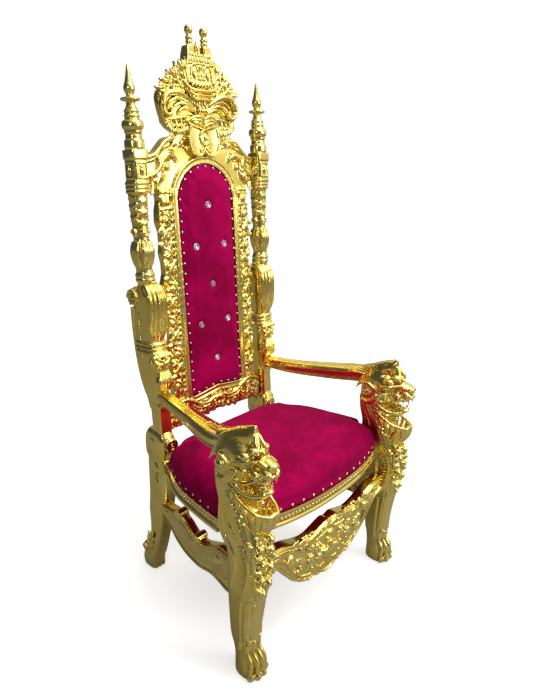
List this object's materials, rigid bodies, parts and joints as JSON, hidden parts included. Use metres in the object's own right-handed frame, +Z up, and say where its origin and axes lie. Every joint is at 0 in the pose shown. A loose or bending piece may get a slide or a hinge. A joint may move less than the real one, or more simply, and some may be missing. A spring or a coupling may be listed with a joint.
{
  "type": "throne",
  "caption": "Tall carved and gilded throne with lion-headed arms, spiked finials, a carved crest, and a crimson velvet seat and buttoned back.",
  "frame": {"origin": "on the floor, under the middle of the whole throne", "axes": "+Z up, -Y the way the sitter faces, +X to the right seen from in front"},
  "size_m": [0.814, 0.7404, 1.8263],
  "materials": {
    "gilding": "carved hardwood, gilded bright yellow gold and varnished",
    "velvet": "crimson cotton velvet over foam",
    "backing_cloth": "plain crimson velvet stretched over a thin board",
    "crystal": "cut crystal button in a silver rim",
    "nail": "small bright dome-headed upholstery nails"
  },
  "bodies": {
    "root": {"finial_left": "gilding", "finial_right": "gilding", "post_left": "gilding", "post_right": "gilding", "crest": "gilding", "back_frame": "gilding", "back_pad": "velvet", "back_board": "backing_cloth", "button_1": "crystal", "button_2": "crystal", "button_3": "crystal", "button_4": "crystal", "button_5": "crystal", "button_6": "crystal", "button_7": "crystal", "seat_rail_front": "gilding", "seat_rail_left": "gilding", "seat_rail_right": "gilding", "seat_rail_back": "gilding", "seat_pad": "velvet", "arm_left": "gilding", "arm_right": "gilding", "front_leg_left": "gilding", "front_leg_right": "gilding", "stretcher_front": "gilding", "stretcher_left": "gilding", "stretcher_right": "gilding"}
  },
  "joints": []
}
